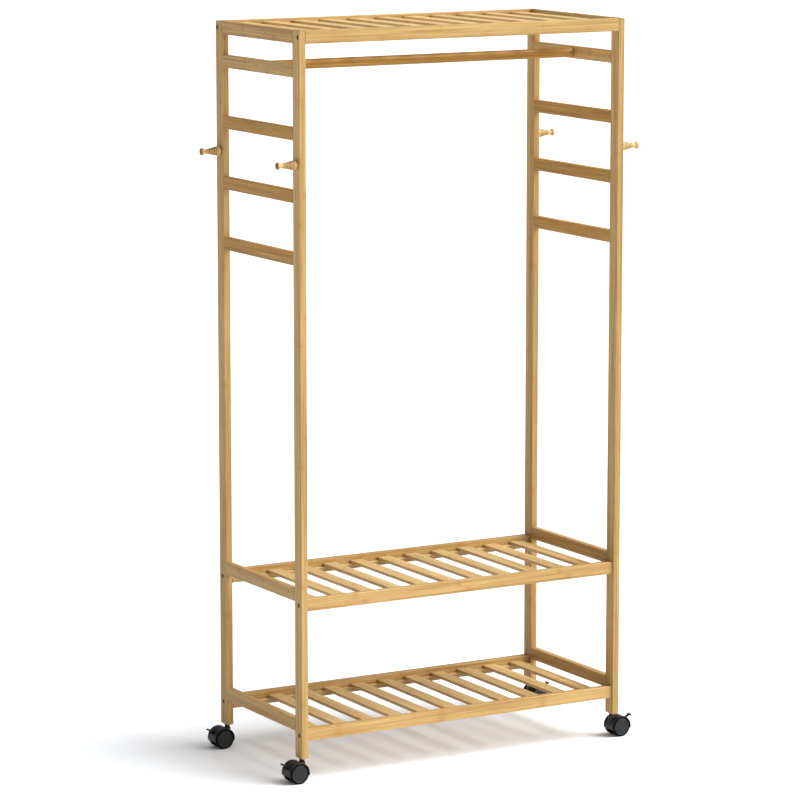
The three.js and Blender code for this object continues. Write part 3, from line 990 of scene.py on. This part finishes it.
class CLOTHESRACK_OT_caster_housings(bpy.types.Operator):
    """Mould the casters' housings: hood, web, boss and the slot for the pedal"""

    bl_idname = "clothesrack.caster_housings"
    bl_label = "Caster Housings"

    hood_section = [
        (24.9, -14.6),
        (25.4, -15.4),
        (25.4, -17.7),
        (25.1, -18.7),
        (24.4, -19.3),
        (23.8, -19.3),
        (23.8, 19.3),
        (24.4, 19.3),
        (25.1, 18.7),
        (25.4, 17.7),
        (25.4, 15.4),
        (24.9, 14.6),
    ]
    web_section = [(6.5, -5.5), (24.3, -5.5), (24.3, 5.5), (6.5, 5.5)]
    pocket_section = [(11, -3.3), (23.8, -3.3), (23.8, 3.3), (11, 3.3)]
    slot_section = [(23.2, -3.3), (26.5, -3.3), (26.5, 3.3), (23.2, 3.3)]
    boss_profile = [
        (0, 2),
        (7.2, 2),
        (7.2, 21.5),
        (6.2, 23.2),
        (5.7, 25.0),
        (5.7, 27.2),
        (6.0, 27.6),
        (6.0, 28.8),
        (0, 28.8),
    ]
    hood_dip = 13  # how far the hood reaches below the axle, in degrees

    def housing(self, trail):
        """The housing around its axle."""
        end = 180 + self.hood_dip
        axis = (0, 1, 0)
        whole = joined(
            swept_shape(self.hood_section, -self.hood_dip, end, 72),
            swept_shape(self.web_section, 5, end, 48),
            moved(rod_shape(7.4, 5.5, 0.6, 40), direction=axis),
            moved(turned_shape(self.boss_profile, 40), (-trail, 0, 0)),
        )
        for tool in (
            moved(rod_shape(2.8, 25, 0.2, 32), direction=axis),
            moved(rod_shape(3.3, 17.6, 0.2, 32), (-trail, 0, self.boss_profile[-1][1] * MM)),
            swept_shape(self.pocket_section, 0, 78, 20),
            swept_shape(self.slot_section, 24, 47, 10),
        ):
            whole = carved(whole, tool)
        return whole

    def execute(self, context):
        hardware = context.scene.clothes_rack_hardware
        housing = self.housing(hardware.trail)
        for end_name, side_name in CORNERS:
            corner = f"{end_name}_{side_name}"
            axle = (hardware.trail, 0, hardware.wheel_radius)
            frame_of_corner = corner_frame(end_name, side_name)
            shape = moved(housing.copy(), axle, matrix=frame_of_corner)
            node = f"caster_housing_{corner}"
            finished(f"moulded_{node}", shape, f"caster_{corner}", "caster_plastic", [node])
            axle_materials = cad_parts[f"caster_axle_{corner}"].data.materials
            axle_materials.clear()
            axle_materials.append(finish_named("zinc_steel"))
        housing.free()
        return {"FINISHED"}


class CLOTHESRACK_OT_wheels(bpy.types.Operator):
    """Make the casters' eight wheels, each a tyre with a disc on its face"""

    bl_idname = "clothesrack.wheels"
    bl_label = "Wheels"

    tyre_profile = [
        (0, 17.3),
        (2.8, 17.3),
        (2.8, 6.9),
        (21.9, 6.9),
        (22.7, 7.2),
        (23, 7.9),
        (23, 17.2),
        (22.8, 18.3),
        (22.1, 19.1),
        (21.1, 19.4),
        (19.9, 19.35),
        (19.5, 18.9),
        (0, 18.9),
    ]
    disc_profile = [
        (0, 18.95),
        (19.1, 18.95),
        (19.1, 19.2),
        (18.5, 19.9),
        (18.2, 20),
        (17.9, 20),
        (17.6, 19.85),
        (17.1, 19.4),
        (8.0, 19.55),
        (0, 19.6),
    ]

    def execute(self, context):
        hardware = context.scene.clothes_rack_hardware
        axle = (hardware.trail, 0, hardware.wheel_radius)
        for end_name, side_name in CORNERS:
            corner = f"{end_name}_{side_name}"
            to_rack = corner_frame(end_name, side_name)
            for wheel_name, wheel_side in ENDS.items():
                facing = (0, wheel_side * SIDES[side_name], 0)
                node = f"caster_{wheel_name}_wheel_{corner}"
                body = f"{wheel_name}_wheel_{corner}"
                tyre = moved(turned_shape(self.tyre_profile, 96), axle, facing, to_rack)
                finished(f"moulded_{node}", tyre, body, "wheel_plastic", [node], finish="tyre")
                disc = moved(turned_shape(self.disc_profile, 96), axle, facing, to_rack)
                finished(f"wheel_disc_{wheel_name}_{corner}", disc, body, "wheel_plastic")
        return {"FINISHED"}


class CLOTHESRACK_OT_brake_pedals(bpy.types.Operator):
    """Make the brake pedals and the pins that they turn on"""

    bl_idname = "clothesrack.brake_pedals"
    bl_label = "Brake Pedals"

    pivot = Vector((12, 12)) * MM  # from the axle, outwards and up
    tip = Vector((32.6, 21.9)) * MM

    def pedal(self):
        """The pedal along X from its eye."""
        reach = (self.tip - self.pivot).length / MM
        arm = box_shape(Vector((1.8, -3, -1.9)) * MM, Vector((reach, 3, 1.9)) * MM)
        bevel(arm, arm.edges[:], 0.8 * MM, 3)
        bar_half = Vector((2.0, 7.3, 2.1))
        bar_centre = Vector((reach, 0, 0))
        bar = box_shape((bar_centre - bar_half) * MM, (bar_centre + bar_half) * MM)
        bevel(bar, bar.edges[:], 1.3 * MM, 3)
        eye = moved(rod_shape(3.6, 3, 0.4, 32), direction=(0, 1, 0))
        bore = moved(rod_shape(1.8, 6, 0.2, 24), direction=(0, 1, 0))
        return carved(joined(arm, bar, eye), bore)

    def execute(self, context):
        hardware = context.scene.clothes_rack_hardware
        pedal = self.pedal()
        rise = self.tip - self.pivot
        tilt = Matrix.Rotation(-math.atan2(rise.y, rise.x), 4, "Y")
        bmesh.ops.transform(pedal, matrix=tilt, verts=pedal.verts)
        pivot = (hardware.trail + self.pivot.x, 0, hardware.wheel_radius + self.pivot.y)
        for end_name, side_name in CORNERS:
            corner = f"{end_name}_{side_name}"
            to_rack = corner_frame(end_name, side_name)
            node = f"caster_brake_{corner}"
            shape = moved(pedal.copy(), pivot, matrix=to_rack)
            finished(f"moulded_{node}", shape, f"brake_{corner}", "caster_plastic", [node])
            pin = moved(rod_shape(1.5, 5.4, 0.2, 24), pivot, (0, 1, 0), to_rack)
            finished(f"brake_pin_{corner}", pin, f"caster_{corner}", "zinc_steel")
        pedal.free()
        return {"FINISHED"}


# ------------------------------------------------------------------------------ stage


class CLOTHESRACK_OT_stage(bpy.types.Operator):
    """Lay the pale floor and set up the soft lights and the camera"""

    bl_idname = "clothesrack.stage"
    bl_label = "Stage"

    def floor(self):
        """A wide round floor under the rack."""
        shape = bmesh.new()
        bmesh.ops.create_circle(shape, cap_ends=True, segments=96, radius=FLOOR_RADIUS)
        floor = linked("studio_floor", shape)
        shape.free()
        floor.data.materials.append(finish_named("studio_floor"))

    def sky(self, scene, settings):
        """Soft light from all round, brighter near the horizon."""
        world = bpy.data.worlds.new("studio")
        world.use_nodes = True
        scene.world = world
        nodes = Nodes(world.node_tree)
        x, y, z = nodes.node("ShaderNodeTexCoord", {}, {}, "Generated").parts()
        slope = [part * settings.slope for part in SKY_SLOPE]
        soft = settings.ambient + x * slope[X] + y * slope[Y] + z * slope[Z]
        near_horizon = 1.0 - z.rise(*HORIZON_BAND)
        strength = soft + (settings.horizon - soft) * near_horizon
        background = world.node_tree.nodes["Background"]
        nodes.feed(background.inputs["Color"], (1.0, 1.0, 1.0, 1.0))
        nodes.feed(background.inputs["Strength"], strength)

    def key_light(self, scene, settings):
        """One wide, soft lamp, high on the right and in front."""
        lamp = bpy.data.lights.new("key_light", "SUN")
        lamp.energy = settings.key
        lamp.color = settings.key_color
        lamp.angle = settings.key_angle
        key = bpy.data.objects.new("key_light", lamp)
        key.rotation_euler = TOWARDS_KEY_LIGHT.to_track_quat("Z", "Y").to_euler()
        scene.collection.objects.link(key)

    def camera(self, scene, settings):
        """A long lens, from the left and a little above."""
        camera = bpy.data.objects.new("camera", bpy.data.cameras.new("camera"))
        camera.data.lens = settings.lens
        camera.data.sensor_width = 36
        camera.data.clip_start = 0.1
        camera.data.clip_end = 400
        camera.location = settings.camera_place
        level = math.pi / 2
        camera.rotation_euler = (level - settings.camera_dip, 0, -settings.camera_yaw)
        scene.collection.objects.link(camera)
        bpy.context.scene.camera = camera

    def execute(self, context):
        scene = context.scene
        settings = scene.clothes_rack_stage
        self.floor()
        self.sky(scene, settings)
        self.key_light(scene, settings)
        self.camera(scene, settings)
        scene.view_settings.view_transform = "Standard"
        return {"FINISHED"}


# ------------------------------------------------------------------------------ the add-on


STEPS = (
    CLOTHESRACK_OT_posts,
    CLOTHESRACK_OT_side_boards,
    CLOTHESRACK_OT_shelf_rails,
    CLOTHESRACK_OT_slats,
    CLOTHESRACK_OT_battens,
    CLOTHESRACK_OT_rod,
    CLOTHESRACK_OT_pegs,
    CLOTHESRACK_OT_frame_bolts,
    CLOTHESRACK_OT_rod_screws,
    CLOTHESRACK_OT_caster_stems,
    CLOTHESRACK_OT_caster_housings,
    CLOTHESRACK_OT_wheels,
    CLOTHESRACK_OT_brake_pedals,
    CLOTHESRACK_OT_stage,
)
SETTINGS = {
    "clothes_rack_bamboo": ClothesRackBamboo,
    "clothes_rack_hardware": ClothesRackHardware,
    "clothes_rack_stage": ClothesRackStage,
}


class CLOTHESRACK_PT_panel(bpy.types.Panel):
    """Lists the rack's settings, and the steps that make its pieces"""

    bl_idname = "CLOTHESRACK_PT_panel"
    bl_label = "Clothes Rack"
    bl_space_type = "VIEW_3D"
    bl_region_type = "UI"
    bl_category = "Clothes Rack"

    def draw(self, context):
        for step in STEPS:
            self.layout.operator(step.bl_idname)
        for attribute, group in SETTINGS.items():
            settings = getattr(context.scene, attribute)
            box = self.layout.box()
            for name in group.__annotations__:
                box.prop(settings, name)


def register():
    for cls in (*SETTINGS.values(), *STEPS, CLOTHESRACK_PT_panel):
        bpy.utils.register_class(cls)
    for attribute, group in SETTINGS.items():
        setattr(bpy.types.Scene, attribute, PointerProperty(type=group))


def unregister():
    for attribute in SETTINGS:
        delattr(bpy.types.Scene, attribute)
    for cls in (CLOTHESRACK_PT_panel, *reversed(STEPS), *SETTINGS.values()):
        bpy.utils.unregister_class(cls)


def main():
    register()
    for step in STEPS:
        getattr(bpy.ops.clothesrack, step.bl_idname.partition(".")[2])()


if __name__ == "__main__":
    main()
